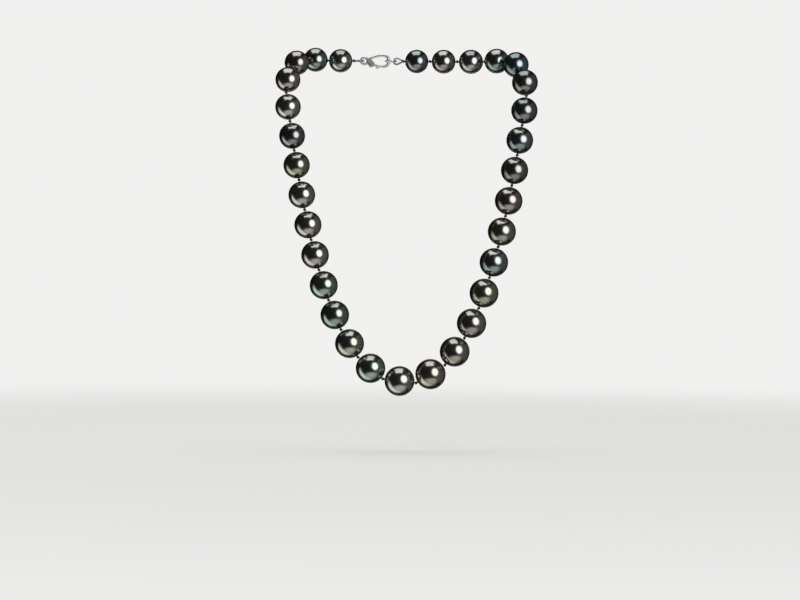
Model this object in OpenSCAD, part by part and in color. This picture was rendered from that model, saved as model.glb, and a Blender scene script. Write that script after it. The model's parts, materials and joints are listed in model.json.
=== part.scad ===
// Graduated strand of dark pearls, knotted on silk, with a lobster claw clasp.
// Shown as worn: the front hangs in the plane y = 0 and the clasp lies at the nape.
// The origin is midway between the two shoulder knots, +Z up, +Y towards the nape.

/* [Pearls] */
// Diameter of the largest pearl, at the front
pearl_max_d = 14.1; // [13:0.1:15]
// Diameter of the two smallest pearls, beside the clasp
pearl_min_d = 11.1; // [10:0.1:12]

/* [Silk] */
// Thickness of the silk thread
thread_d = 0.72; // [0.6:0.02:0.84]
// Play of the thread in a pearl's drill hole, on each side
drill_play = 0.09; // [0.05:0.01:0.1]
// Wall of the French wire that sheathes the thread at the clasp
french_wall = 0.14; // [0.1:0.01:0.18]
// Reach of each French wire loop, from its knot to the middle of its far end
french_reach = 4.65; // [4.4:0.05:5.5]

/* [Drape] */
// Radius of the curve at the lowest point of the front
drape_r = 20.4; // [18:0.1:26]
// How far left of the lowest point the lowest pearl hangs
low_shift = 2.6; // [0:0.1:6]
// Height of the nape above the shoulder knots
nape_rise = 17.5; // [16.5:0.5:22]
// Radius of the level corner behind each shoulder
corner_r = 17; // [16.5:0.5:22]

/* [Clasp] */
// Length of the claw, from the middle of its eye to the middle of its nose
claw_l = 11.5; // [11:0.1:14]
// Radius of the claw's nose, at the middle of the metal
nose_r = 2.6; // [2.5:0.05:3]
// Thickness of the claw where its cheeks hold the trigger
claw_t = 3; // [2.8:0.1:3.6]
// Thickness of the metal of the claw's arch, across the opening
arch_w = 1.4; // [1.2:0.05:1.5]
// Diameter of the trigger's pivot pin
pin_d = 1; // [0.8:0.05:1.2]
// Outer diameter of the end ring that the claw catches
ring_d = 5.8; // [5.7:0.1:7]
// Wire thickness of the end ring
ring_wire = 1; // [0.8:0.05:1.05]

/* [Hidden] */
$fn = 48;

// Pearls from the left of the clasp round to its right, and where the largest is
pearl_count = 31;
largest = 16;
// Rows of the front that swing below the shoulder knots, and the lowest pearl
rows = 10;
lowest = 15;
// Pearls of the left and right that lie over the shoulders, behind the first row
left_back = lowest - 1 - rows;
right_back = pearl_count - lowest - rows;

// A knot is about two threads long and a little wider, with a hair of room to the pearls
knot_turns = 1.9;
knot_swell = 0.17;
knot_seat = 0.04;
knot_half = knot_turns * thread_d / 2;
knot_bulge = knot_swell * thread_d;
knot_gap = 2 * (knot_half + knot_seat);
knot_r = knot_half + knot_bulge;
// Room round a knot for the thread that swings on it
swing_play = 0.06;
drill_d = thread_d + 2 * drill_play;

// The French wire: its bore, its outside and the bend of its loop
french_play = 0.02;
french_in = thread_d / 2 + french_play;
french_r = french_in + french_wall;
// The links of the clasp: the eye's wire, its play in the loop, and the room each hole leaves
eye_wire = 1.2;
link_play = 0.2;
loop_room = 0.33;
eye_room = 0.43;
french_bend = eye_wire / 2 + french_r + loop_room;
eye_r = french_r + eye_wire / 2 + eye_room;
// The sheath's two ends stand this far from the knot, where they just clear each other
french_start = (french_r + french_play) * (french_reach - french_bend) / french_bend;

// Clasp places along the line from the left end knot to the right one
eye_x = french_reach - french_r - link_play + eye_r - eye_wire / 2;
nose_x = eye_x + claw_l;
ring_mid_r = (ring_d - ring_wire) / 2;
ring_x = nose_x - arch_w / 2 - link_play - ring_wire / 2 + ring_mid_r;
clasp_span = ring_x + ring_mid_r - ring_wire / 2 + french_reach - french_r - link_play;

// The claw, from the middle of its eye: where its back leaves the tail, and the arch of the back
nose_c = claw_l - nose_r;
tail_u = 1.4;
tail_v = 0.5;
tail_r = 1.2;
arch_deep = 2;
arch_drop = nose_r - tail_v;
arch_r = (pow(nose_c - tail_u, 2) + pow(arch_drop, 2)) / (2 * arch_drop);
// How far the nose hooks round, past the end of the arch
hook_turn = 105;
// The pivot lies on the gate's arc, which mirrors the back's
pivot_set = 1.9;
pivot_u = tail_u + pivot_set;
pivot_v = arch_r - nose_r - sqrt(pow(arch_r, 2) - pow(nose_c - pivot_u, 2));
pin_play = 0.05;
pin_fit = 0.01;
pin_head = 0.2;
pin_lip = 0.25;
// Walls round the pin, and the slot between the cheeks
cheek_wall = 0.95;
cheek_t = 0.6;
hub_wall = 0.5;
slot_room = 0.15;
slot_play = 0.1;
cheek_r = pin_d / 2 + cheek_wall;
hub_r = pin_d / 2 + hub_wall;
slot_r = cheek_r + slot_room;
slot_w = claw_t - 2 * cheek_t;
hub_w = slot_w - 2 * slot_play;
// The gate of the trigger, its gap to the hook's tip and the knob for the thumb
gate_w = 1.2;
gate_deep = 1.8;
gate_gap = 0.15;
knob_r = 0.8;
// The leaf spring, midway between hub and slot, and the angles it spans
spring_t = 0.22;
spring_r = (hub_r + slot_r) / 2;
spring_from = 70;
spring_to = 165;
// How far cuts run past the faces that they open
cut_past = 0.5;

// Silk and metal, and the overtone of each pearl: Green, Rose, Bronze, Silver or bLue
silk_colour = "#15141a";
metal_colour = "#c9cdd2";
tones = "SGRRGGBSBRGGSGSBBRBGBRLLLBLGSRL";
function tone_colour(i) =
    let (letter = tones[i - 1])
    letter == "G" ? "#3d463f" :
    letter == "R" ? "#4b4345" :
    letter == "B" ? "#54503f" :
    letter == "S" ? "#5a5c58" : "#3b4248";

// Names of the nodes, in the order of the strand
function two(n) = n < 10 ? str("0", n) : str(n);
pearl_names = [for (i = [1:pearl_count]) str("pearl_", two(i))];
row_names = [for (r = [1:rows]) str("thread_row_", two(r))];
back_names = ["thread_back_left", "thread_back_right", "french_wire_left", "french_wire_right"];
clasp_names = ["claw_body", "claw_trigger", "claw_pin", "claw_spring", "end_ring"];

// Pearls shrink evenly from the largest to the clasp, and a pitch is a pearl with its knot
function pearl_d(i) = pearl_max_d - abs(i - largest) * (pearl_max_d - pearl_min_d) / (largest - 1);
function pitch(i) = pearl_d(i) + knot_gap;

// Place on a path, between lo and hi, that lies a straight distance d from its place t
near_enough = 1e-6;
function next_on(path, t, d, lo, hi) =
    hi - lo < near_enough ? (lo + hi) / 2 :
    let (mid = (lo + hi) / 2)
    norm(path(mid) - path(t)) < d ? next_on(path, t, d, mid, hi) : next_on(path, t, d, lo, mid);

// Places on a path, past t, that lie the given straight lengths apart: along the path each is
// no shorter than its straight length, and not half as long again
function march(path, t, lengths, k = 0) =
    k == len(lengths) ? [] :
    let (n = next_on(path, t, lengths[k], t + 0.99 * lengths[k], t + 1.5 * lengths[k]))
    concat([n], march(path, n, lengths, k + 1));

// The front hangs in a catenary, and s runs along it from its lowest point
catenary = function (s) [
    drape_r * ln(s / drape_r + sqrt(pow(s / drape_r, 2) + 1)),
    0,
    sqrt(s * s + drape_r * drape_r) - drape_r
];
low_s = -low_shift - pitch(lowest) / 2;
right_s = march(catenary, low_s, [for (i = [lowest:lowest + rows]) pitch(i)]);
left_s = march(catenary, -low_s, [for (i = [lowest - 1:-1:lowest - rows]) pitch(i)]);
left_end_s = -left_s[rows - 1];
right_end_s = right_s[rows];
middle = (catenary(left_end_s) + catenary(right_end_s)) / 2;
front = concat(
    [for (k = [rows - 1:-1:0]) catenary(-left_s[k]) - middle],
    [catenary(low_s) - middle],
    [for (s = right_s) catenary(s) - middle]
);

// Over a shoulder the strand turns from its lean at the shoulder knot to level, towards the nape.
// side is -1 on the left and 1 on the right, and splay is the level direction's angle to X.
function lean(s) = asin(drape_r / sqrt(s * s + drape_r * drape_r));
function rising(s, side) = [side * sin(lean(s)), 0, cos(lean(s))];
function level(splay, side) = [-side * cos(splay), sin(splay), 0];
function turned(s, splay) = acos(-sin(lean(s)) * cos(splay));
function shoulder_r(s, splay, z) = (nape_rise - z) / (cos(lean(s)) * tan(turned(s, splay) / 2));
function shoulder(knot, s, splay, side, angle) =
    let (full = turned(s, splay))
    let (inward = (level(splay, side) - rising(s, side) * cos(full)) / sin(full))
    knot + shoulder_r(s, splay, knot[2]) * (sin(angle) * rising(s, side) + (1 - cos(angle)) * inward);

// One side's whole path from its shoulder knot, by length along it: over the shoulder, round the
// level corner behind it, then straight across the nape
function back_path(splay, side) =
    let (
        knot = side < 0 ? front[0] : front[len(front) - 1],
        s = side < 0 ? left_end_s : right_end_s,
        turn = turned(s, splay),
        radius = shoulder_r(s, splay, knot[2]),
        over_l = turn * radius * PI / 180,
        corner_l = splay * corner_r * PI / 180,
        over = shoulder(knot, s, splay, side, turn)
    )
    function (t)
        let (
            turn_now = t < over_l ? t / radius * 180 / PI : turn,
            heading = splay - max(0, min(t - over_l, corner_l)) / corner_r * 180 / PI,
            straight = max(0, t - over_l - corner_l)
        )
        t < over_l
            ? shoulder(knot, s, splay, side, turn_now)
            : over + [
                side * (corner_r * (sin(heading) - sin(splay)) - straight),
                corner_r * (cos(heading) - cos(splay)),
                0
            ];

// Knots of one side, outward from the shoulder knot to the clasp
left_pitches = [for (i = [left_back:-1:1]) pitch(i)];
right_pitches = [for (i = [pearl_count - right_back + 1:pearl_count]) pitch(i)];
function back_knots(splay, side) =
    let (path = back_path(splay, side))
    [for (t = march(path, 0, side < 0 ? left_pitches : right_pitches)) path(t)];

// The splay at which the two sides leave exactly the clasp's span between them
function clasp_gap(splay) =
    norm(back_knots(splay, -1)[left_back - 1] - back_knots(splay, 1)[right_back - 1]);
function closing_splay(lo, hi) =
    hi - lo < near_enough ? (lo + hi) / 2 :
    let (mid = (lo + hi) / 2)
    clasp_gap(mid) < clasp_span ? closing_splay(mid, hi) : closing_splay(lo, mid);
splay = closing_splay(5, 90);
left_knots = back_knots(splay, -1);
right_knots = back_knots(splay, 1);

// All the knots: knot i lies after pearl i, and knot 0 before the first pearl
knots = concat(
    [for (k = [left_back - 1:-1:0]) left_knots[k]],
    front,
    right_knots
);
clasp_line = knots[pearl_count] - knots[0];
clasp_turn = atan2(clasp_line[1], clasp_line[0]);

// Places that the moving pieces turn about, for whoever needs them
echo(knots = knots);
echo(clasp_turn = clasp_turn, splay = splay, clasp_span = clasp_span, eye_x = eye_x, ring_x = ring_x);
echo(pivot = [pivot_u, pivot_v], drill_d = drill_d, knot_gap = knot_gap);

// Sets its children on the line from p to q, with their own z axis along it
module along(p, q) {
    d = q - p;
    translate(p)
        rotate([0, acos(d[2] / norm(d)), atan2(d[1], d[0])])
            children();
}

// Sets its children on the clasp's line, with x along it from the left end knot
module at_clasp() {
    translate(knots[0])
        rotate([0, 0, clasp_turn])
            children();
}

// A round pearl drilled through along its length of thread
module pearl(i) {
    color(tone_colour(i))
        along(knots[i - 1], knots[i])
            translate([0, 0, pitch(i) / 2])
                difference() {
                    sphere(d = pearl_d(i));
                    cylinder(d = drill_d, h = pearl_d(i) + 2 * cut_past, center = true);
                }
}

// The thread through one pearl
module silk(i) {
    along(knots[i - 1], knots[i])
        cylinder(d = thread_d, h = pitch(i));
}

// A knot drawn up tight: a ball, a little wider than long, set across the bend
module knot(i) {
    before = knots[max(i - 1, 0)];
    after = knots[min(i + 1, pearl_count)];
    translate(knots[i])
        along([0, 0, 0], after - before)
            rotate_extrude()
                intersection() {
                    union() {
                        translate([knot_bulge, 0]) circle(r = knot_half);
                        translate([0, -knot_half]) square([knot_bulge, 2 * knot_half]);
                    }
                    translate([0, -knot_r]) square(2 * knot_r);
                }
}

// Clear room round the knot that a swinging thread starts from
module knot_room(i) {
    translate(knots[i])
        sphere(r = knot_r + swing_play);
}

// Thread and knots of one row of the front: its left and right pearls, and in the last row
// the lowest pearl too
module thread_row(r) {
    left = left_back + r;
    right = pearl_count - right_back + 1 - r;
    color(silk_colour)
        difference() {
            union() {
                silk(left);
                knot(left);
                silk(right);
                knot(right - 1);
                if (r == rows) silk(lowest);
            }
            knot_room(left - 1);
            knot_room(right);
        }
}

// A round bar, or a tube where bore is given, bent into a drop-shaped loop in the plane of x and y.
// Its point is at the origin, and its two legs begin a distance start from there.
module drop_loop(r, bore = 0, start = 0) {
    mid = french_reach - french_bend;
    half_angle = asin(french_bend / mid);
    leg = sqrt(mid * mid - french_bend * french_bend);
    translate([mid, 0, 0])
        rotate([0, 0, -90 - half_angle])
            rotate_extrude(angle = 180 + 2 * half_angle)
                translate([french_bend, 0]) ring_section(r, bore);
    for (way = [-1, 1])
        rotate([0, 0, way * half_angle])
            translate([start, 0, 0])
                rotate([0, 90, 0])
                    linear_extrude(height = leg - start)
                        ring_section(r, bore);
}

// A disc, with a hole in it where bore is given
module ring_section(r, bore) {
    difference() {
        circle(r = r);
        if (bore > 0) circle(r = bore);
    }
}

// The loops at the two ends: the left one lies level, the right one upright
module end_loop(side) {
    at_clasp()
        if (side < 0) children();
        else translate([clasp_span, 0, 0]) rotate([90, 0, 180]) children();
}

// Thread and knots from pearl i on to the last, each joined to the rest of the strand
module strung(i, last) {
    union() {
        silk(i);
        knot(i);
        if (i < last) strung(i + 1, last);
    }
}

// The thread over one shoulder, from its shoulder knot to the loop at the clasp
module thread_back(side) {
    first = side < 0 ? 1 : pearl_count - right_back + 1;
    last = side < 0 ? left_back : pearl_count;
    color(silk_colour) {
        knot(first - 1);
        strung(first, last);
        end_loop(side) drop_loop(thread_d / 2);
    }
}

// The sheath of a loop, open at the knot where its two ends meet side by side
module french_wire(side) {
    color(metal_colour)
        end_loop(side)
            drop_loop(french_r, french_in, french_start);
}

// Sets its children on the claw: x from the eye to the nose, y up, z across its thickness
module at_claw() {
    at_clasp()
        translate([eye_x, 0, 0])
            rotate([90, 0, 0])
                children();
}

// A bar with rounded edges, w wide and deep thick, bent round the origin from one angle on
module bent_bar(r, w, deep, from, turn) {
    rotate([0, 0, from])
        rotate_extrude(angle = turn)
            translate([r, 0]) {
                for (way = [-1, 1])
                    translate([0, way * (deep - w) / 2]) circle(d = w);
                square([w, deep - w], center = true);
            }
}

// The plate between two discs and the lines that touch both
module belt(p, rp, q, rq) {
    d = q - p;
    out = acos((rp - rq) / norm(d));
    turn = atan2(d[1], d[0]);
    translate(p) circle(r = rp);
    translate(q) circle(r = rq);
    polygon([
        p + rp * [cos(turn + out), sin(turn + out)],
        q + rq * [cos(turn + out), sin(turn + out)],
        q + rq * [cos(turn - out), sin(turn - out)],
        p + rp * [cos(turn - out), sin(turn - out)]
    ]);
}

// The claw: eye, tail with two cheeks for the trigger, arched back and hooked nose
module claw_body() {
    arch_turn = asin((nose_c - tail_u) / arch_r);
    color(metal_colour)
        at_claw() {
            rotate_extrude()
                translate([eye_r, 0]) circle(d = eye_wire);
            difference() {
                linear_extrude(height = claw_t, center = true)
                    belt([eye_r + eye_wire / 2, 0], tail_r, [pivot_u, pivot_v], cheek_r);
                translate([pivot_u, pivot_v, 0]) {
                    cylinder(r = slot_r, h = slot_w, center = true);
                    cylinder(d = pin_d + 2 * pin_fit, h = claw_t + 2 * cut_past, center = true);
                }
                cylinder(r = eye_r, h = claw_t + 2 * cut_past, center = true);
            }
            difference() {
                translate([nose_c, nose_r - arch_r, 0])
                    bent_bar(arch_r, arch_w, arch_deep, 90, arch_turn);
                translate([pivot_u, pivot_v, 0])
                    cylinder(r = slot_r, h = slot_w, center = true);
                cylinder(r = eye_r, h = claw_t + 2 * cut_past, center = true);
            }
            translate([nose_c, 0, 0])
                bent_bar(nose_r, arch_w, arch_deep, -hook_turn, 90 + hook_turn);
        }
}

// The trigger: a hub on the pin, and a gate that reaches from it to the hook's tip
module claw_trigger() {
    gate_c = [nose_c, arch_r - nose_r, 0];
    tip_u = nose_c - nose_r * sin(hook_turn - 90) - gate_gap;
    tip_angle = -90 - asin((nose_c - tip_u) / arch_r);
    hub_angle = -90 - asin((nose_c - pivot_u) / arch_r);
    clear_angle = hub_angle + asin((slot_r + gate_w / 2) / arch_r);
    knob_angle = clear_angle + asin(knob_r / arch_r);
    color(metal_colour)
        at_claw() {
            difference() {
                union() {
                    translate([pivot_u, pivot_v, 0]) cylinder(r = hub_r, h = hub_w, center = true);
                    translate(gate_c)
                        bent_bar(arch_r, gate_w, hub_w, hub_angle, tip_angle - hub_angle);
                }
                translate([pivot_u, pivot_v, 0])
                    cylinder(d = pin_d + 2 * pin_play, h = claw_t + 2 * cut_past, center = true);
            }
            translate(gate_c) {
                bent_bar(arch_r, gate_w, gate_deep, clear_angle, tip_angle - clear_angle);
                rotate([0, 0, knob_angle]) translate([arch_r + gate_w / 2, 0, 0]) sphere(r = knob_r);
            }
        }
}

// The trigger's pin, headed over on both cheeks
module claw_pin() {
    color(metal_colour)
        at_claw()
            translate([pivot_u, pivot_v, 0]) {
                cylinder(d = pin_d, h = claw_t + 2 * pin_head, center = true);
                for (way = [-1, 1])
                    translate([0, 0, way * (claw_t + pin_head) / 2])
                        cylinder(r = pin_d / 2 + pin_lip, h = pin_head, center = true);
            }
}

// The trigger's leaf spring, curled round the hub and drawn wound up
module claw_spring() {
    color(metal_colour)
        at_claw()
            translate([pivot_u, pivot_v, 0])
                rotate([0, 0, spring_from])
                    rotate_extrude(angle = spring_to - spring_from)
                        translate([spring_r, 0]) square([spring_t, hub_w], center = true);
}

// The ring that the claw catches, soldered closed
module end_ring() {
    color(metal_colour)
        at_clasp()
            translate([ring_x, 0, 0])
                rotate_extrude()
                    translate([ring_mid_r, 0]) circle(d = ring_wire);
}

for (i = [1:pearl_count])
    pearl(i);
for (r = [1:rows])
    thread_row(r);
thread_back(-1);  // thread_back_left
thread_back(1);  // thread_back_right
french_wire(-1);  // french_wire_left
french_wire(1);  // french_wire_right
claw_body();
claw_trigger();
claw_pin();
claw_spring();
end_ring();
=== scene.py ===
"""Graduated strand of dark pearls, knotted on black silk, closed by a lobster claw at the nape.

Places, and the sizes of the pearls and the clasp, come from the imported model. The silk and the wire
repeat the sizes of its solids. Every piece rides on one of its bodies. Lengths are in metres, +Z is
up and +Y points from the front of the strand to the nape.
"""

import json
import logging
import math
import random
from collections.abc import Callable, Mapping, Sequence
from dataclasses import dataclass, field, replace
from enum import Enum
from functools import partial
from typing import Any

import bmesh
import bpy
from bmesh.types import BMesh
from bpy.types import AreaLight, Collection, Material, Mesh, NodeSocket, NodeTree, Object
from mathutils import Matrix, Vector, noise

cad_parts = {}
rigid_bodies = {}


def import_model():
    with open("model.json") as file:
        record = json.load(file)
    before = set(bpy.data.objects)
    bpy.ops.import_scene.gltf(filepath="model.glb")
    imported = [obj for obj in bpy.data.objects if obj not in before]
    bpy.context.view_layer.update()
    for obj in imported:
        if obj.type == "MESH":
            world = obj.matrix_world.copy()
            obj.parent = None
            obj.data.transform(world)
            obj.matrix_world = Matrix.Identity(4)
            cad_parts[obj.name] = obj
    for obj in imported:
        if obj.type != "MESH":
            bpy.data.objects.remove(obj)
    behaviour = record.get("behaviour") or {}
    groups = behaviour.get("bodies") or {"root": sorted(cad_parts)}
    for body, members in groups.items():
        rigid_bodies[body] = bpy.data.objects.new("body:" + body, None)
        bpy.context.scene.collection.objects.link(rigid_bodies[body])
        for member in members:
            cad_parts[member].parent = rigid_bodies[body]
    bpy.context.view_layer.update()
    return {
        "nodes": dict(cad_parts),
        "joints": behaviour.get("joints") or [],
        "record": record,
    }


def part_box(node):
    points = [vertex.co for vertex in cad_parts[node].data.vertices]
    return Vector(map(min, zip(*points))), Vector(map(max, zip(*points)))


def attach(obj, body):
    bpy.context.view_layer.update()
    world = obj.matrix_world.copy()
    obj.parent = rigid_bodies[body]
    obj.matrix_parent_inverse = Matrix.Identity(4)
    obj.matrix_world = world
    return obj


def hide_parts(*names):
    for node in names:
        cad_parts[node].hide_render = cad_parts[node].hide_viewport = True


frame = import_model()

log = logging.getLogger("pearl_strand")

MM = 0.001
UP = Vector((0.0, 0.0, 1.0))
SHARP_FROM = math.radians(40)

Path = Callable[[float], Vector]
Colour = tuple[float, float, float]
WHITE: Colour = (1.0, 1.0, 1.0)
BLACK: Colour = (0.0, 0.0, 0.0)

BODY_OF: dict[str, str] = {
    node: body for body, nodes in frame["record"]["behaviour"]["bodies"].items() for node in nodes
}
JOINT_OF: dict[str, Mapping[str, Any]] = {joint["child"]: joint for joint in frame["joints"]}


class Value:
    """One output of a shader node, with arithmetic that adds Math nodes."""

    def __init__(self, bench: "Bench", socket: NodeSocket | None) -> None:
        """Keeps the socket and the bench that its node stands on."""
        self.bench = bench
        self.socket = socket

    def _math(self, operation: str, *terms: "Value | float") -> "Value":
        """Result of one Math node, with the terms in its sockets in order."""
        return self.bench.add("ShaderNodeMath", {"operation": operation}, dict(enumerate(terms)))

    def __add__(self, other: "Value | float") -> "Value":
        """Sum of this and another value."""
        return self._math("ADD", self, other)

    __radd__ = __add__

    def __sub__(self, other: "Value | float") -> "Value":
        """This less another value."""
        return self._math("SUBTRACT", self, other)

    def __rsub__(self, other: "Value | float") -> "Value":
        """Another value less this."""
        return self._math("SUBTRACT", other, self)

    def __mul__(self, other: "Value | float") -> "Value":
        """Product of this and another value."""
        return self._math("MULTIPLY", self, other)

    __rmul__ = __mul__

    def clipped(self) -> "Value":
        """This value, held between 0 and 1."""
        return self.bench.add("ShaderNodeClamp", sockets={"Value": self})

    def step(self, low: float, high: float) -> "Value":
        """Smooth step of this value, which is 0 up to low and 1 from high on."""
        ends = {"Value": self, "From Min": low, "From Max": high}
        return self.bench.add("ShaderNodeMapRange", {"interpolation_type": "SMOOTHSTEP"}, ends)


class Bench:
    """The node tree of one material, lamp or world, and the one way to put nodes in it."""

    # Places of the colour sockets on a Mix node, whose names repeat.
    MIX_SHARE, MIX_FIRST, MIX_SECOND, MIXED = 0, 6, 7, 2

    def __init__(self, tree: NodeTree) -> None:
        """Clears the tree."""
        self.tree = tree
        tree.nodes.clear()

    def add(
        self,
        kind: str,
        settings: Mapping[str, Any] | None = None,
        sockets: Mapping[str | int, Any] | None = None,
        out: str | int = 0,
    ) -> Value:
        """Makes a node.

        Args:
            kind: The node's type.
            settings: The node's own properties, set before its sockets.
            sockets: A number, colour, vector or Value for each input, by name or place.
            out: The output that is wanted, by name or place.

        Returns:
            That output.
        """
        node = self.tree.nodes.new(kind)
        for name, setting in (settings or {}).items():
            setattr(node, name, setting)
        for key, given in (sockets or {}).items():
            end = node.inputs[key]
            if isinstance(given, Value):
                self.tree.links.new(given.socket, end)
            elif isinstance(given, tuple) and len(given) == 3 and end.type == "RGBA":
                end.default_value = (*given, 1.0)
            else:
                end.default_value = given
        return Value(self, node.outputs[out] if node.outputs else None)

    def mix(self, share: Value | float, first: Any, second: Any) -> Value:
        """Blend of two colours, each plain or a Value, with a share of the second."""
        colours = {self.MIX_SHARE: share, self.MIX_FIRST: first, self.MIX_SECOND: second}
        return self.add("ShaderNodeMix", {"data_type": "RGBA"}, colours, self.MIXED)

    def place(self, scale: float, shift: Sequence[float] = (0.0, 0.0, 0.0)) -> Value:
        """The point of the surface in its object's own axes.

        Args:
            scale: What its coordinates are multiplied by.
            shift: What is added to them then.

        Returns:
            The point as a vector.
        """
        point = self.add("ShaderNodeTexCoord", out="Object")
        terms = {0: point, 1: (scale,) * 3, 2: tuple(shift)}
        return self.add("ShaderNodeVectorMath", {"operation": "MULTIPLY_ADD"}, terms)

    def noise(self, point: Value, scale: float, detail: float) -> Value:
        """Soft noise at a point, a value about 0.5, with some layers of finer detail."""
        sockets = {"Vector": point, "Scale": scale, "Detail": detail}
        return self.add("ShaderNodeTexNoise", {}, sockets, "Fac")

    def off_middle(self, share: Value) -> Value:
        """How far from the middle of a sheet a point lies.

        Args:
            share: The point as shares of the sheet's width and depth, from 0 to 1.

        Returns:
            The distance, which is 1 at the middle of each side.
        """
        terms = {0: share, 1: (2.0, 2.0, 0.0), 2: (-1.0, -1.0, 0.0)}
        centred = self.add("ShaderNodeVectorMath", {"operation": "MULTIPLY_ADD"}, terms)
        return self.add("ShaderNodeVectorMath", {"operation": "LENGTH"}, {0: centred}, "Value")

    def bump(self, relief: Value, depth: float, strength: float) -> Value:
        """Normal of a surface whose relief of 1 is depth metres high, at some strength."""
        sockets = {"Height": relief, "Distance": depth, "Strength": strength}
        return self.add("ShaderNodeBump", sockets=sockets)

    def fading(self, shader: Value, full_to: float, body: float = 1.0) -> Value:
        """Lets the finish of a sheet fade out towards its edges.

        Args:
            shader: The finish.
            full_to: How far from the middle it is full, as a share of the way to a side.
            body: Share of the finish where it is full.

        Returns:
            The finish that fades.
        """
        sheet = self.add("ShaderNodeTexCoord", out="Generated")
        cover = (1.0 - self.off_middle(sheet).step(full_to, 1.0)) * body
        clear = self.add("ShaderNodeBsdfTransparent")
        return self.add("ShaderNodeMixShader", sockets={0: cover, 1: clear, 2: shader})

    def finish(self, shader: Value, output: str = "ShaderNodeOutputMaterial") -> None:
        """Ends the tree with a shader."""
        self.add(output, sockets={"Surface": shader})


def drawn_shift(seed: int, room: float) -> Vector:
    """Draws the place in a noise that a seed's pattern is taken from, within room along each axis."""
    draw = random.Random(seed)
    return Vector([draw.uniform(-room, room) for _ in range(3)])


def new_material(name: str) -> tuple[Material, Bench]:
    """Starts a material.

    Args:
        name: The material's name.

    Returns:
        The material and the bench for its nodes.
    """
    material = bpy.data.materials.new(name)
    material.use_nodes = True
    return material, Bench(material.node_tree)


class Overtone(Enum):
    """Colours that dark nacre shows where it mirrors light."""

    PEACOCK = (0.250, 0.298, 0.258)
    CELADON = (0.286, 0.352, 0.284)
    PISTACHIO = (0.340, 0.362, 0.286)
    OLIVE = (0.318, 0.328, 0.244)
    AUBERGINE = (0.314, 0.280, 0.266)
    ROSE = (0.384, 0.346, 0.316)
    BRONZE = (0.332, 0.314, 0.244)
    CHAMPAGNE = (0.376, 0.366, 0.318)
    SILVER = (0.370, 0.370, 0.346)
    STEEL = (0.238, 0.258, 0.260)
    TEAL = (0.200, 0.250, 0.254)
    CHARCOAL = (0.208, 0.210, 0.200)


Overtones = tuple[Overtone, Overtone, Overtone]


@dataclass(frozen=True)
class NacreFinish:
    """Dark mirror-like nacre whose overtone drifts from the face of a pearl to its crown.

    The crown, the upper part of the pearl, mostly takes a lighter overtone than the face. This is
    partly the nacre's own colour and partly painted light, as it lightens and tints the reflection of
    the light overhead. Its patterns are scaled to the pearl's radius: a scale of 2 repeats about twice
    in it.
    """

    face: Overtone
    # Overtone of the upper part, mostly lighter than the face: partly own colour, partly painted
    # light.
    crown: Overtone
    blush: Overtone
    radius: float
    seed: int
    metallic: float = 0.975
    # Near-black tint of the grazing reflection: painted shade along the outline of each pearl.
    painted_rim_shade: Colour = (0.10, 0.11, 0.11)
    polish: float = 0.150
    drift_scale: float = 0.9
    cloud_scale: float = 2.6
    cloud_haze: float = 0.06
    grain_scale: float = 34.0
    crown_from: float = 0.20
    crown_to: float = 0.70
    crown_drift: float = 0.9
    blush_from: float = 0.46
    blush_rate: float = 3.0
    blush_most: float = 0.75
    pit_scale: float = 1.3
    pit_floor: float = 0.02
    pit_brim: float = 0.06
    pit_shade: float = 0.55
    pit_haze: float = 0.12
    pit_relief: float = 0.6
    drift_relief: float = 0.9
    grain_relief: float = 0.05
    relief_depth: float = 0.05 * MM
    relief_share: float = 0.6
    shift_room: float = 50.0

    def material(self, name: str) -> Material:
        """Makes the finish.

        Args:
            name: The material's name.

        Returns:
            The material.
        """
        material, bench = new_material(name)
        here = bench.place(1.0 / self.radius)
        drifting = bench.place(1.0 / self.radius, drawn_shift(self.seed, self.shift_room))
        drift = bench.noise(drifting, self.drift_scale, detail=1.0)
        cloud = bench.noise(drifting, self.cloud_scale, detail=3.0)
        grain = bench.noise(drifting, self.grain_scale, detail=2.0)
        height = bench.add("ShaderNodeSeparateXYZ", {}, {0: here}, "Z")
        # Partly painted light: the upper part of the pearl takes the crown overtone, mostly lighter
        # than the face, which lightens the reflection of the overhead light there.
        crown = (height + (drift - 0.5) * self.crown_drift).step(self.crown_from, self.crown_to)
        blush = ((cloud - self.blush_from) * self.blush_rate).clipped() * self.blush_most
        colour = bench.mix(blush, self.face.value, self.blush.value)
        colour = bench.mix(crown, colour, self.crown.value)
        cells = {"Vector": drifting, "Scale": self.pit_scale}
        from_pit = bench.add("ShaderNodeTexVoronoi", {"feature": "F1"}, cells, "Distance")
        whole = from_pit.step(self.pit_floor, self.pit_brim)
        pit_colour = tuple(self.pit_shade * part for part in self.face.value)
        relief = whole * self.pit_relief + drift * self.drift_relief + grain * self.grain_relief
        shader = bench.add(
            "ShaderNodeBsdfPrincipled",
            sockets={
                "Base Color": bench.mix(whole, pit_colour, colour),
                "Metallic": self.metallic,
                "Roughness": self.polish + cloud * self.cloud_haze + (1.0 - whole) * self.pit_haze,
                # Painted shade: the dark tint darkens the reflection towards each pearl's outline.
                "Specular Tint": self.painted_rim_shade,
                "Normal": bench.bump(relief, self.relief_depth, self.relief_share),
            },
        )
        bench.finish(shader)
        return material


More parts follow.
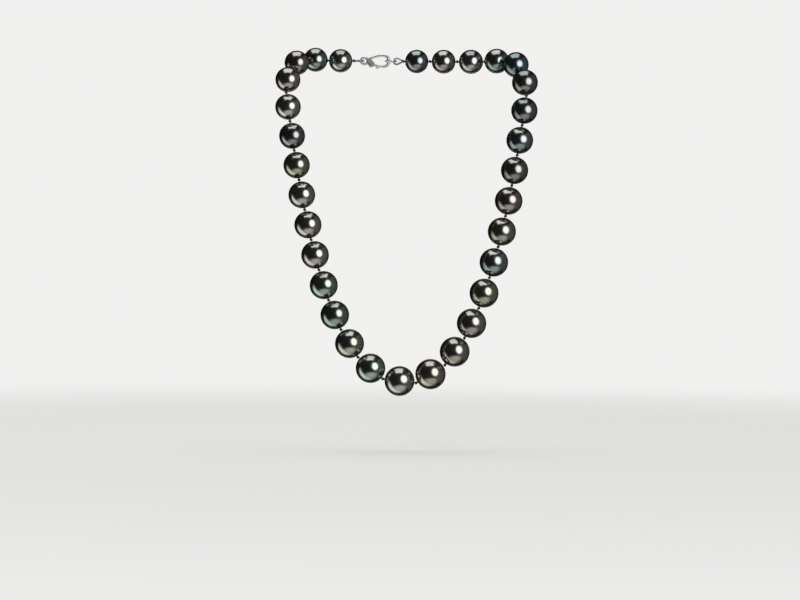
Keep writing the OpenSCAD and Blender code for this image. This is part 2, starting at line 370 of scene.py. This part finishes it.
@dataclass(frozen=True)
class SilkFinish:
    """Black twisted silk, with a dull sheen along its plies. Its scales are per millimetre."""

    thread: Colour = (0.012, 0.011, 0.014)
    worn: Colour = (0.045, 0.043, 0.047)
    wear: float = 2.0
    fibre_scale: float = 9.0
    cloud_scale: float = 1.3
    roughness: float = 0.42
    fibre_haze: float = 0.3
    sheen: float = 0.35
    sheen_roughness: float = 0.4
    relief_depth: float = 0.03 * MM
    relief_share: float = 0.8

    def material(self, name: str) -> Material:
        """Makes the finish.

        Args:
            name: The material's name.

        Returns:
            The material.
        """
        material, bench = new_material(name)
        here = bench.place(1.0 / MM)
        fibre = bench.noise(here, self.fibre_scale, detail=3.0)
        cloud = bench.noise(here, self.cloud_scale, detail=1.0)
        shader = bench.add(
            "ShaderNodeBsdfPrincipled",
            sockets={
                "Base Color": bench.mix((fibre * cloud * self.wear).clipped(), self.thread, self.worn),
                "Roughness": self.roughness + fibre * self.fibre_haze,
                "Sheen Weight": self.sheen,
                "Sheen Roughness": self.sheen_roughness,
                "Normal": bench.bump(fibre, self.relief_depth, self.relief_share),
            },
        )
        bench.finish(shader)
        return material


@dataclass(frozen=True)
class MetalFinish:
    """Polished white metal, with the haze and hairlines of handling. Its scales are per millimetre."""

    bright: Colour = (0.90, 0.90, 0.885)
    dulled: Colour = (0.76, 0.76, 0.755)
    dull_from: float = 0.45
    dull_to: float = 0.75
    metallic: float = 0.90
    roughness: float = 0.24
    haze_scale: float = 0.7
    haze_blur: float = 0.06
    hairline_scale: float = 1.6
    hairline_stretch: float = 14.0
    hairline_blur: float = 0.08
    relief_depth: float = 0.004 * MM
    relief_share: float = 0.5

    def material(self, name: str) -> Material:
        """Makes the finish.

        Args:
            name: The material's name.

        Returns:
            The material.
        """
        material, bench = new_material(name)
        here = bench.place(1.0 / MM)
        haze = bench.noise(here, self.haze_scale, detail=3.0)
        stretch = {0: here, 1: (1.0, self.hairline_stretch, self.hairline_stretch)}
        stretched = bench.add("ShaderNodeVectorMath", {"operation": "MULTIPLY"}, stretch)
        hairlines = bench.noise(stretched, self.hairline_scale, detail=3.0)
        dulling = haze.step(self.dull_from, self.dull_to)
        blur = haze * self.haze_blur + hairlines * self.hairline_blur
        shader = bench.add(
            "ShaderNodeBsdfPrincipled",
            sockets={
                "Base Color": bench.mix(dulling, self.bright, self.dulled),
                "Metallic": self.metallic,
                "Roughness": self.roughness + blur,
                "Normal": bench.bump(hairlines, self.relief_depth, self.relief_share),
            },
        )
        bench.finish(shader)
        return material


@dataclass(frozen=True)
class PaperFinish:
    """Pale paper that fades out towards its edges. Its fibres are scaled per metre."""

    colour: Colour = (0.88, 0.875, 0.865)
    tooth: float = 0.02
    fibre_scale: float = 900.0
    body: float = 0.62
    full_to: float = 0.25

    def material(self, name: str) -> Material:
        """Makes the finish.

        Args:
            name: The material's name.

        Returns:
            The material.
        """
        material, bench = new_material(name)
        fibre = bench.noise(bench.place(1.0), self.fibre_scale, detail=2.0)
        darker = tuple(part * (1.0 - self.tooth) for part in self.colour)
        colour = bench.mix(fibre, self.colour, darker)
        paper = bench.add("ShaderNodeBsdfDiffuse", sockets={"Color": colour})
        bench.finish(bench.fading(paper, self.full_to, self.body))
        return material


@dataclass(frozen=True)
class GlowFinish:
    """Pale screen lit from behind, which fades out towards its edges."""

    radiance: float
    full_to: float
    colour: Colour = (0.97, 0.98, 1.0)

    def material(self, name: str) -> Material:
        """Makes the finish.

        Args:
            name: The material's name.

        Returns:
            The material.
        """
        material, bench = new_material(name)
        sockets = {"Color": self.colour, "Strength": self.radiance}
        glow = bench.add("ShaderNodeEmission", sockets=sockets)
        bench.finish(bench.fading(glow, self.full_to))
        return material


@dataclass(frozen=True)
class CardFinish:
    """Matt card that a studio hangs up for reflections."""

    colour: Colour

    def material(self, name: str) -> Material:
        """Makes the finish.

        Args:
            name: The material's name.

        Returns:
            The material.
        """
        material, bench = new_material(name)
        bench.finish(bench.add("ShaderNodeBsdfDiffuse", sockets={"Color": self.colour}))
        return material


def new_piece(name: str, mesh: Mesh, material: Material) -> Object:
    """Puts a mesh in the scene, shaded smooth.

    Args:
        name: The object's name.
        mesh: Its mesh.
        material: Its finish.

    Returns:
        The object.
    """
    mesh.shade_smooth()
    mesh.set_sharp_from_angle(angle=SHARP_FROM)
    mesh.materials.append(material)
    piece = bpy.data.objects.new(name, mesh)
    bpy.context.scene.collection.objects.link(piece)
    return piece


def stand_for(piece: Object, node: str) -> None:
    """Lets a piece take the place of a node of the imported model, on the node's own body.

    Args:
        piece: The piece.
        node: The node that it stands for.
    """
    body = BODY_OF[node]
    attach(piece, body)
    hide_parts(node)
    log.info("%s rides on %s for %s", piece.name, body, node)


def new_stand_in(name: str, shape: BMesh, material: Material, node: str) -> Object:
    """Turns a shape into a piece that stands for a node.

    Args:
        name: The piece's name.
        shape: Its shape, which is used up.
        material: Its finish.
        node: The node that it stands for.

    Returns:
        The piece.
    """
    mesh = bpy.data.meshes.new(name)
    shape.to_mesh(mesh)
    shape.free()
    piece = new_piece(name, mesh, material)
    stand_for(piece, node)
    return piece


def across(direction: Vector) -> tuple[Vector, Vector]:
    """Two unit vectors square to a direction and to each other.

    Args:
        direction: A unit vector.

    Returns:
        The two vectors.
    """
    upright = 0.9
    aside = UP if abs(direction.z) < upright else Vector((1, 0, 0))
    first = direction.cross(aside).normalized()
    return first, direction.cross(first)


@dataclass
class Strand:
    """Where the knots and pearls of the strand lie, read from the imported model."""

    pearls: list[str] = field(default_factory=list)
    knots: list[Vector] = field(default_factory=list)
    centres: list[Vector] = field(default_factory=list)
    radii: list[float] = field(default_factory=list)

    @classmethod
    def from_frame(cls) -> "Strand":
        """Reads the pearls in order, from the left of the clasp round to its right.

        Returns:
            The strand.
        """
        strand = cls(sorted(name for name in frame["nodes"] if name.startswith("pearl_")))
        for pearl in strand.pearls:
            low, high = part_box(pearl)
            strand.knots.append(Vector(JOINT_OF[BODY_OF[pearl]]["pos_m"]))
            strand.centres.append((low + high) / 2)
            strand.radii.append(max(high - low) / 2)
        strand.knots.append(2 * strand.centres[-1] - strand.knots[-1])
        return strand

    def run(self, index: int) -> Vector:
        """Direction of the thread at a knot, from one pearl to the next.

        Args:
            index: The knot.

        Returns:
            A unit vector.
        """
        before = self.knots[max(index - 1, 0)]
        after = self.knots[min(index + 1, len(self.knots) - 1)]
        return (after - before).normalized()

    def held_by(self, node: str) -> list[int]:
        """The pearls on a node's thread, counted from 1: they turn on its body.

        Args:
            node: The node of the thread.

        Returns:
            The pearls in order.
        """
        counted = enumerate(self.pearls, start=1)
        body = BODY_OF[node]
        return [count for count, pearl in counted if JOINT_OF[BODY_OF[pearl]]["parent"] == body]


@dataclass
class Pearl:
    """One drilled pearl: nearly round, never wider than its solid, with eased drill mouths."""

    node: str
    centre: Vector
    axis: Vector
    radius: float
    drill_r: float
    overtones: Overtones
    seed: int
    sides: int = 56
    rings: int = 38
    bore_rings: int = 4
    lip: float = 0.12 * MM
    off_round: float = 0.009
    waves: float = 0.9
    shift_room: float = 40.0

    def profile(self) -> list[tuple[float, float]]:
        """The half outline of the pearl, once round: outside from mouth to mouth, then the bore.

        Returns:
            Points as (distance from the axis, place along it).
        """
        mouth = math.asin((self.drill_r + self.lip) / self.radius)
        points = []
        for ring in range(self.rings + 1):
            angle = mouth + (math.pi - 2 * mouth) * ring / self.rings
            points.append((self.radius * math.sin(angle), self.radius * math.cos(angle)))
        depth = points[0][1] - self.lip
        for ring in range(self.bore_rings + 1):
            points.append((self.drill_r, depth * (2 * ring / self.bore_rings - 1)))
        return points

    def worn(self, point: Vector, shift: Vector) -> Vector:
        """Sinks a point of the surface a little, as nacre grows.

        Args:
            point: The point, from the pearl's middle.
            shift: Where in the noise this pearl lies.

        Returns:
            The point that it goes to.
        """
        way = point.normalized()
        swell = 0.5 + 0.5 * noise.noise(way * self.waves + shift)
        return point * (1.0 - self.off_round * min(max(swell, 0.0), 1.0))

    def surface(self) -> Mesh:
        """Turns the outline round the drill hole.

        Returns:
            The pearl's mesh.
        """
        shift = drawn_shift(self.seed, self.shift_room)
        first, second = across(self.axis)
        outline = self.profile()
        count = len(outline)
        points, faces = [], []
        for side in range(self.sides):
            angle = 2 * math.pi * side / self.sides
            outward = first * math.cos(angle) + second * math.sin(angle)
            here, there = side * count, (side + 1) % self.sides * count
            for place, (reach, along) in enumerate(outline):
                point = outward * reach + self.axis * along
                points.append(self.worn(point, shift) if place <= self.rings else point)
                then = (place + 1) % count
                faces.append((here + place, here + then, there + then, there + place))
        mesh = bpy.data.meshes.new(f"nacre_{self.node}")
        mesh.from_pydata(points, [], faces)
        return mesh

    def build(self) -> None:
        """Makes the pearl and sets it on its body."""
        name = f"nacre_{self.node}"
        finish = NacreFinish(*self.overtones, self.radius, self.seed)
        piece = new_piece(name, self.surface(), finish.material(name))
        piece.location = self.centre
        stand_for(piece, self.node)


@dataclass
class Sweep:
    """A round cord swept along a path, smooth or laid up from twisted plies."""

    path: Path
    radius: float
    rings: int
    sides: int
    closed: bool = False
    plies: int = 0
    ply_depth: float = 0.0
    turns: float = 0.0

    def heading(self, points: Sequence[Vector], ring: int) -> Vector:
        """Direction of the path at one of its points.

        Args:
            points: The points of the path.
            ring: Which point.

        Returns:
            A unit vector.
        """
        last = len(points) - 1
        before = points[ring - 1 if ring or self.closed else ring]
        after = points[(ring + 1) % len(points) if ring < last or self.closed else ring]
        return (after - before).normalized()

    def reach(self, angle: float, ring: int) -> float:
        """Distance of the surface from the path.

        Args:
            angle: Where round the cord.
            ring: Where along it.

        Returns:
            The distance, which is less in the grooves between plies.
        """
        twist = self.plies * angle - 2 * math.pi * self.turns * ring / self.rings
        groove = self.ply_depth * (0.5 - 0.5 * math.cos(twist))
        return self.radius * (1.0 - groove)

    def add_to(self, shape: BMesh) -> None:
        """Adds the cord to a shape.

        Args:
            shape: The shape that takes it.
        """
        count = self.rings if self.closed else self.rings + 1
        points = [self.path(ring / self.rings) for ring in range(count)]
        normal = across(self.heading(points, 0))[0]
        loops = []
        for ring, point in enumerate(points):
            ahead = self.heading(points, ring)
            normal = (normal - ahead * normal.dot(ahead)).normalized()
            sideways = ahead.cross(normal)
            loop = []
            for side in range(self.sides):
                angle = 2 * math.pi * side / self.sides
                outward = normal * math.cos(angle) + sideways * math.sin(angle)
                loop.append(shape.verts.new(point + outward * self.reach(angle, ring)))
            loops.append(loop)
        followers = loops[1:] + loops[:1] if self.closed else loops[1:]
        for here, there in zip(loops, followers):
            for side in range(self.sides):
                then = (side + 1) % self.sides
                shape.faces.new((here[side], here[then], there[then], there[side]))
        if not self.closed:
            shape.faces.new(reversed(loops[0]))
            shape.faces.new(loops[-1])


class Side(Enum):
    """The two ends of the strand, seen from the front."""

    LEFT = "left"
    RIGHT = "right"


@dataclass
class EndLoop:
    """The drop-shaped loop of silk at one end of the strand, in its sheath of coiled wire."""

    knot: Vector
    ahead: Vector
    up: Vector
    reach: float = 4.65 * MM
    bend: float = 1.45 * MM
    sheath_in: float = 0.38 * MM
    sheath_start: float = 1.2 * MM
    wire_r: float = 0.07 * MM
    wire_sides: int = 6
    coil_pitch: float = 0.20 * MM
    steps_per_turn: int = 12
    hair: float = 0.01 * MM

    @property
    def middle(self) -> float:
        """How far from the knot the middle of the bend lies."""
        return self.reach - self.bend

    @property
    def half_angle(self) -> float:
        """Angle between each leg and the line from the knot to the bend."""
        return math.asin(self.bend / self.middle)

    @property
    def leg(self) -> float:
        """Length of each straight leg of the loop."""
        return math.sqrt(self.middle * self.middle - self.bend * self.bend)

    @property
    def bend_length(self) -> float:
        """Length of the loop between its legs."""
        return (math.pi + 2 * self.half_angle) * self.bend

    @property
    def length(self) -> float:
        """Length of the loop, from the knot and back to it."""
        return 2 * self.leg + self.bend_length

    @property
    def sheathed(self) -> float:
        """Length of the loop that the wire covers."""
        return self.length - 2 * self.sheath_start

    def at(self, distance: float) -> Vector:
        """Point of the loop.

        Args:
            distance: How far along the loop it lies, from the knot.

        Returns:
            The point.
        """
        past_leg = distance - self.leg
        if 0.0 <= past_leg <= self.bend_length:
            angle = past_leg / self.bend - math.pi / 2 - self.half_angle
            along = self.middle + self.bend * math.cos(angle)
            aside = self.bend * math.sin(angle)
        else:
            far = distance if past_leg < 0.0 else self.length - distance
            along = far * math.cos(self.half_angle)
            aside = math.copysign(far * math.sin(self.half_angle), past_leg)
        return self.knot + self.ahead * along + self.up.cross(self.ahead) * aside

    def silk_point(self, share: float) -> Vector:
        """Point of the silk at a share of the loop's length."""
        return self.at(share * self.length)

    def wire_point(self, share: float) -> Vector:
        """Point of the sheath's wire at a share of the sheath's length.

        Args:
            share: From 0 to 1.

        Returns:
            The point.
        """
        distance = self.sheath_start + share * self.sheathed
        ahead = (self.at(distance + self.hair) - self.at(distance - self.hair)).normalized()
        angle = 2 * math.pi * share * self.sheathed / self.coil_pitch
        outward = self.up * math.cos(angle) + self.up.cross(ahead) * math.sin(angle)
        return self.at(distance) + outward * (self.sheath_in + self.wire_r)

    def build_sheath(self, node: str, metal: Material) -> Object:
        """Makes the coiled wire.

        Args:
            node: The node that it stands for.
            metal: Its finish.

        Returns:
            The sheath.
        """
        steps = round(self.sheathed / self.coil_pitch * self.steps_per_turn)
        coil = bmesh.new()
        Sweep(self.wire_point, self.wire_r, steps, self.wire_sides).add_to(coil)
        return new_stand_in(f"coil_{node}", coil, metal, node)


@dataclass
class Silk:
    """The thread of the strand and the knots between the pearls."""

    strand: Strand
    finish: Material
    thread_r: float = 0.36 * MM
    thread_sides: int = 12
    ring_pitch: float = 0.30 * MM
    plies: int = 3
    ply_depth: float = 0.14
    ply_pitch: float = 1.1 * MM
    knot_r: float = 0.80 * MM
    knot_half: float = 0.684 * MM
    knot_thread_r: float = 0.27 * MM
    knot_fill: float = 0.52
    knot_rings: int = 72
    knot_sides: int = 8
    knot_turns: int = 9
    swing_room: float = 0.86 * MM

    def knot_point(self, index: int, share: float) -> Vector:
        """Point on the centre line of a knot drawn up tight, a trefoil round the thread.

        Args:
            index: The knot.
            share: Where along the closed line, from 0 to 1.

        Returns:
            The point.
        """
        ahead = self.strand.run(index)
        first, second = across(ahead)
        room = self.knot_r - self.knot_thread_r
        minor = room * self.knot_fill
        angle = 2 * math.pi * share
        reach = room - minor + minor * math.cos(3 * angle)
        rise = (self.knot_half - self.knot_thread_r) * math.sin(3 * angle)
        outward = first * math.cos(2 * angle) + second * math.sin(2 * angle)
        return self.strand.knots[index] + outward * reach + ahead * rise

    def add_knot(self, shape: BMesh, index: int) -> None:
        """Adds a knot to a shape.

        Args:
            shape: The shape.
            index: The knot.
        """
        Sweep(
            partial(self.knot_point, index),
            self.knot_thread_r,
            self.knot_rings,
            self.knot_sides,
            closed=True,
            plies=self.plies,
            ply_depth=self.ply_depth,
            turns=self.knot_turns,
        ).add_to(shape)

    def add_thread(self, shape: BMesh, path: Path, length: float) -> None:
        """Adds a length of thread to a shape.

        Args:
            shape: The shape.
            path: Its centre line.
            length: How long it is.
        """
        Sweep(
            path,
            self.thread_r,
            round(length / self.ring_pitch),
            self.thread_sides,
            plies=self.plies,
            ply_depth=self.ply_depth,
            turns=length / self.ply_pitch,
        ).add_to(shape)

    def add_line(self, shape: BMesh, start: Vector, end: Vector) -> None:
        """Adds a straight length of thread to a shape."""
        self.add_thread(shape, partial(start.lerp, end), (end - start).length)

    def build_row(self, node: str) -> None:
        """Makes the thread and knots of one row of the front, which swings on its two upper knots.

        Args:
            node: The node of the row's thread.
        """
        held = self.strand.held_by(node)
        upper = {held[0] - 1, held[-1]}
        shape = bmesh.new()
        for i in held:
            start, end = self.strand.knots[i - 1], self.strand.knots[i]
            room = (end - start).normalized() * self.swing_room
            self.add_line(
                shape,
                start + room if i - 1 in upper else start,
                end - room if i in upper else end,
            )
        for i in sorted(({i - 1 for i in held} | set(held)) - upper):
            self.add_knot(shape, i)
        new_stand_in(f"silk_{node}", shape, self.finish, node)

    def build_back(self, side: Side, loop: EndLoop) -> None:
        """Makes the thread and knots of one side of the back, with the loop at its end.

        Args:
            side: The side.
            loop: The loop.
        """
        node = f"thread_back_{side.value}"
        half = len(self.strand.pearls) / 2
        held = [i for i in self.strand.held_by(node) if (i < half) == (side is Side.LEFT)]
        shape = bmesh.new()
        for i in held:
            self.add_line(shape, self.strand.knots[i - 1], self.strand.knots[i])
        for i in sorted({i - 1 for i in held} | set(held)):
            self.add_knot(shape, i)
        self.add_thread(shape, loop.silk_point, loop.length)
        new_stand_in(f"silk_{node}", shape, self.finish, node)

    def build(self, loops: Mapping[Side, EndLoop]) -> None:
        """Makes the silk of the rows and of both sides of the back.

        Args:
            loops: The loops at the ends.
        """
        for node in sorted(name for name in frame["nodes"] if name.startswith("thread_row_")):
            self.build_row(node)
        for side, loop in loops.items():
            self.build_back(side, loop)


@dataclass
class PearlStrand:
    """All the pearls, the silk that they are knotted on and the sheathed loops at its ends."""

    strand: Strand
    overtones: Sequence[Overtones]
    drill_r: float = 0.45 * MM
    first_seed: int = 101

    def build_pearls(self) -> None:
        """Makes the pearls in order."""
        strand = self.strand
        for place, node in enumerate(strand.pearls):
            Pearl(
                node,
                strand.centres[place],
                (strand.knots[place + 1] - strand.knots[place]).normalized(),
                strand.radii[place],
                self.drill_r,
                self.overtones[place],
                self.first_seed + place,
            ).build()

    def end_loops(self) -> dict[Side, EndLoop]:
        """The loops at the clasp: the left one lies level, the right one stands upright.

        Returns:
            The loop of each side.
        """
        start, end = self.strand.knots[0], self.strand.knots[-1]
        ahead = (end - start).normalized()
        left = EndLoop(start, ahead, UP)
        right = EndLoop(end, -ahead, UP.cross(ahead))
        return {Side.LEFT: left, Side.RIGHT: right}

    def build(self, silk: Material, metal: Material) -> list[Object]:
        """Makes the whole strand.

        Args:
            silk: Finish of the thread.
            metal: Finish of the coiled wire.

        Returns:
            The lengths of coiled wire.
        """
        self.build_pearls()
        loops = self.end_loops()
        Silk(self.strand, silk).build(loops)
        return [loop.build_sheath(f"french_wire_{side.value}", metal) for side, loop in loops.items()]


@dataclass
class Clasp:
    """The lobster claw and its ring, whose solids are polished and eased at their edges."""

    nodes: Sequence[str] = ("claw_body", "claw_trigger", "claw_pin", "claw_spring", "end_ring")
    edge: float = 0.06 * MM
    edge_segments: int = 2

    def build(self, metal: Material) -> list[Object]:
        """Makes the polished pieces from the solids.

        Args:
            metal: The finish.

        Returns:
            The pieces.
        """
        made = []
        for node in self.nodes:
            name = f"polished_{node}"
            mesh = frame["nodes"][node].data.copy()
            mesh.name = name
            mesh.materials.clear()
            piece = new_piece(name, mesh, metal)
            easing = piece.modifiers.new("eased_edges", "BEVEL")
            easing.width = self.edge
            easing.segments = self.edge_segments
            easing.limit_method = "ANGLE"
            easing.angle_limit = SHARP_FROM
            easing.harden_normals = True
            stand_for(piece, node)
            made.append(piece)
        return made


class BoxShape(Enum):
    """Outlines of a softbox."""

    ROUND = "ELLIPSE"
    SQUARE = "RECTANGLE"

    @property
    def fill(self) -> float:
        """Share of its width times its height that it covers."""
        return math.pi / 4 if self is BoxShape.ROUND else 1.0


@dataclass(frozen=True)
class Softbox:
    """One studio light, even over its middle and dimmer towards its edge."""

    name: str
    place: Vector
    aim: Vector
    size: tuple[float, float]
    radiance: float
    shape: BoxShape
    even_to: float = 1.0
    colour: Colour = WHITE

    def soften(self, lamp: AreaLight) -> None:
        """Dims a lamp towards its edge.

        Args:
            lamp: The lamp.
        """
        lamp.use_nodes = True
        bench = Bench(lamp.node_tree)
        share = bench.add("ShaderNodeNewGeometry", out="Parametric")
        dim = bench.off_middle(share).step(self.even_to, 1.0)
        glow = bench.add("ShaderNodeEmission", sockets={"Color": bench.mix(dim, WHITE, BLACK)})
        bench.finish(glow, "ShaderNodeOutputLight")

    def build(self) -> Object:
        """Puts the light in the scene.

        Returns:
            The light.
        """
        lamp = bpy.data.lights.new(self.name, "AREA")
        lamp.shape = self.shape.value
        lamp.size, lamp.size_y = self.size
        lamp.energy = self.radiance * math.pi * self.size[0] * self.size[1] * self.shape.fill
        lamp.color = self.colour
        if self.even_to < 1.0:
            self.soften(lamp)
        holder = bpy.data.objects.new(self.name, lamp)
        holder.location = self.place
        holder.rotation_euler = (self.aim - self.place).to_track_quat("-Z", "Y").to_euler()
        holder.visible_camera = False
        bpy.context.scene.collection.objects.link(holder)
        return holder


class Lit(Enum):
    """What a group of pieces means for the light that names it."""

    ONLY = "INCLUDE"
    ALL_BUT = "EXCLUDE"


def light_group(name: str, pieces: Sequence[Object], lit: Lit) -> Collection:
    """Groups the pieces that a light falls on alone, or leaves out.

    Args:
        name: The group's name.
        pieces: The pieces.
        lit: What the group means.

    Returns:
        The group.
    """
    group = bpy.data.collections.new(name)
    for piece in pieces:
        group.objects.link(piece)
    for entry in group.collection_objects:
        entry.light_linking.link_state = lit.value
    return group


@dataclass
class Sheet:
    """A flat sheet of the studio, which isn't part of the object."""

    name: str
    size: tuple[float, float]
    place: tuple[float, float, float]
    turn: tuple[float, float, float] = (0.0, 0.0, 0.0)

    def build(self, finish: Material) -> Object:
        """Puts the sheet in the scene.

        Args:
            finish: Its finish.

        Returns:
            The sheet.
        """
        wide, deep = (side / 2 for side in self.size)
        corners = [(-wide, -deep, 0), (wide, -deep, 0), (wide, deep, 0), (-wide, deep, 0)]
        mesh = bpy.data.meshes.new(self.name)
        mesh.from_pydata(corners, [], [(0, 1, 2, 3)])
        piece = new_piece(self.name, mesh, finish)
        piece.location = self.place
        piece.rotation_euler = [math.radians(angle) for angle in self.turn]
        return piece


@dataclass
class Studio:
    """Pale floor and background, softboxes, a tent of dark card and the camera."""

    centre: Vector = Vector((-2.25 * MM, 0.0, -94.7 * MM))
    aim: Vector = Vector((0.0, 0.0, -60.0 * MM))
    floor_size: float = 1.6
    floor_place: tuple[float, float, float] = (0.0, 0.1, -0.165)
    tent_half: float = 2.6
    metal_radiance: float = 1.8
    backdrop: Colour = (0.88, 0.876, 0.87)
    ambient: Colour = (0.50, 0.50, 0.50)
    lens: float = 100.0
    sensor: float = 36.0
    distance: float = 1022.0 * MM
    roll: float = math.radians(0.4)

    def build_floor(self) -> Object:
        """Lays the pale floor, which takes shadows and throws none.

        Returns:
            The floor.
        """
        sheet = Sheet("floor", (self.floor_size, self.floor_size), self.floor_place)
        floor = sheet.build(PaperFinish().material("floor_paper"))
        floor.visible_glossy = False
        floor.visible_shadow = False
        return floor

    def build_tent(self) -> None:
        """Stands dark card all round and pale screens below, which only reflections show."""
        black = CardFinish((0.006, 0.006, 0.006)).material("black_card")
        grey = CardFinish((0.26, 0.26, 0.25)).material("grey_card")
        bright = GlowFinish(radiance=1.75, full_to=0.3).material("bright_screen")
        dim = GlowFinish(radiance=0.88, full_to=0.25).material("dim_screen")
        half = self.tent_half
        wall = (2 * half, 2 * half)
        cards = (
            (Sheet("front_card", wall, (0.0, -half, 0.0), (90, 0, 0)), black),
            (Sheet("back_card", wall, (0.0, half, 0.0), (90, 0, 0)), black),
            (Sheet("left_card", wall, (-half, 0.0, 0.0), (90, 0, 90)), black),
            (Sheet("right_card", wall, (half, 0.0, 0.0), (90, 0, 90)), grey),
            (Sheet("top_card", wall, (0.0, 0.0, half)), black),
            (Sheet("base_card", wall, (0.0, 0.0, -half)), black),
            (Sheet("left_screen", (3.4, 1.0), (-0.70, 0.0, -0.96), (0, 40, 0)), bright),
            (Sheet("front_screen", (2.8, 2.3), (0.15, -0.78, -1.06), (0, 0, -15)), dim),
            (Sheet("back_screen", (2.6, 1.0), (0.0, 1.22, -0.82), (56, 0, 0)), dim),
        )
        for sheet, finish in cards:
            card = sheet.build(finish)
            card.visible_camera = False
            card.visible_diffuse = False
            card.visible_transmission = False
            card.visible_shadow = False

    def low_softboxes(self) -> tuple[Softbox, Softbox]:
        """The lights that stand about level with the strand.

        Returns:
            The one close by on the right and the one behind.
        """
        side = Softbox(
            "side_softbox",
            Vector((0.32, -0.44, 0.04)),
            self.aim,
            size=(0.62, 0.74),
            radiance=4.3,
            shape=BoxShape.ROUND,
            even_to=0.45,
            colour=(0.935, 0.918, 1.0),
        )
        behind = Softbox(
            "back_softbox",
            Vector((0.0, 0.95, 0.10)),
            self.aim,
            size=(0.95, 1.05),
            radiance=4.2,
            shape=BoxShape.ROUND,
            even_to=0.35,
        )
        return side, behind

    def top_softbox(self) -> Softbox:
        """The light overhead, which shines straight down.

        Returns:
            The light.
        """
        place = Vector((-0.065, 0.0, 0.84))
        return Softbox(
            "top_softbox", place, place - UP, size=(0.77, 0.82), radiance=1.8, shape=BoxShape.SQUARE
        )

    def build_lights(self, floor: Object, metalwork: Sequence[Object]) -> None:
        """Hangs the softboxes.

        Args:
            floor: The floor, which the low ones stand too close to and leave alone.
            metalwork: The polished metal, which would go white in the low ones at full strength.
        """
        spared = light_group("spared", (floor, *metalwork), Lit.ALL_BUT)
        dimmed = light_group("metalwork", metalwork, Lit.ONLY)
        for softbox in self.low_softboxes():
            softbox.build().light_linking.receiver_collection = spared
            weak = replace(
                softbox, name=f"metal_{softbox.name}", radiance=self.metal_radiance, colour=WHITE
            )
            weak.build().light_linking.receiver_collection = dimmed
        self.top_softbox().build()

    def build_world(self) -> None:
        """Makes the background pale, and dimmer where it lights the pieces."""
        world = bpy.data.worlds.new("pale_room")
        world.use_nodes = True
        bench = Bench(world.node_tree)
        camera, glossy, clear = (
            bench.add("ShaderNodeLightPath", out=ray)
            for ray in ("Is Camera Ray", "Is Glossy Ray", "Is Transmission Ray")
        )
        colour = bench.mix((camera + glossy + clear).clipped(), self.ambient, self.backdrop)
        background = bench.add("ShaderNodeBackground", sockets={"Color": colour})
        bench.finish(background, "ShaderNodeOutputWorld")
        bpy.context.scene.world = world

    def build_camera(self) -> None:
        """Sets the camera level in front of the strand."""
        data = bpy.data.cameras.new("front_camera")
        data.lens = self.lens
        data.sensor_width = self.sensor
        camera = bpy.data.objects.new("front_camera", data)
        camera.location = self.centre - Vector((0, self.distance, 0))
        level = Matrix.Rotation(math.pi / 2, 4, "X") @ Matrix.Rotation(self.roll, 4, "Z")
        camera.rotation_euler = level.to_euler()
        bpy.context.scene.collection.objects.link(camera)
        bpy.context.scene.camera = camera

    def build(self, metalwork: Sequence[Object]) -> None:
        """Sets up the whole studio.

        Args:
            metalwork: The pieces of polished metal.
        """
        floor = self.build_floor()
        self.build_tent()
        self.build_lights(floor, metalwork)
        self.build_world()
        self.build_camera()
        bpy.context.scene.view_settings.view_transform = "Standard"


def strand_overtones() -> list[Overtones]:
    """The face, crown and blush of each pearl, from the left of the clasp round to its right.

    The crowns are mostly lighter than the faces: this is partly painted light on the tops of the
    pearls.

    Returns:
        One triple of overtones for each pearl.
    """
    o = Overtone
    return [
        (o.SILVER, o.PEACOCK, o.STEEL),
        (o.PEACOCK, o.SILVER, o.CHARCOAL),
        (o.AUBERGINE, o.ROSE, o.CHARCOAL),
        (o.ROSE, o.CHAMPAGNE, o.AUBERGINE),
        (o.CHAMPAGNE, o.PISTACHIO, o.SILVER),
        (o.CHARCOAL, o.PISTACHIO, o.AUBERGINE),
        (o.OLIVE, o.SILVER, o.ROSE),
        (o.CHAMPAGNE, o.SILVER, o.SILVER),
        (o.CHAMPAGNE, o.SILVER, o.BRONZE),
        (o.ROSE, o.PISTACHIO, o.SILVER),
        (o.CELADON, o.PISTACHIO, o.PEACOCK),
        (o.PEACOCK, o.PISTACHIO, o.STEEL),
        (o.PISTACHIO, o.SILVER, o.CELADON),
        (o.CELADON, o.PISTACHIO, o.CELADON),
        (o.CHAMPAGNE, o.SILVER, o.ROSE),
        (o.BRONZE, o.ROSE, o.CHAMPAGNE),
        (o.BRONZE, o.PISTACHIO, o.CHAMPAGNE),
        (o.AUBERGINE, o.PISTACHIO, o.ROSE),
        (o.OLIVE, o.SILVER, o.BRONZE),
        (o.PEACOCK, o.SILVER, o.CHARCOAL),
        (o.OLIVE, o.ROSE, o.CHARCOAL),
        (o.AUBERGINE, o.CHAMPAGNE, o.CHARCOAL),
        (o.CHARCOAL, o.PISTACHIO, o.BRONZE),
        (o.STEEL, o.CELADON, o.PEACOCK),
        (o.CHARCOAL, o.STEEL, o.TEAL),
        (o.CHARCOAL, o.STEEL, o.BRONZE),
        (o.TEAL, o.TEAL, o.CHARCOAL),
        (o.PEACOCK, o.SILVER, o.CHARCOAL),
        (o.SILVER, o.STEEL, o.CHARCOAL),
        (o.AUBERGINE, o.SILVER, o.BRONZE),
        (o.STEEL, o.PEACOCK, o.CHARCOAL),
    ]


def main() -> None:
    """Dresses the strand and sets up the studio."""
    logging.basicConfig(level=logging.INFO, format="%(name)s: %(message)s")
    silk = SilkFinish().material("black_silk")
    metal = MetalFinish().material("white_metal")
    strand = PearlStrand(Strand.from_frame(), strand_overtones())
    metalwork = strand.build(silk, metal) + Clasp().build(metal)
    Studio().build(metalwork)


if __name__ == "__main__":
    main()
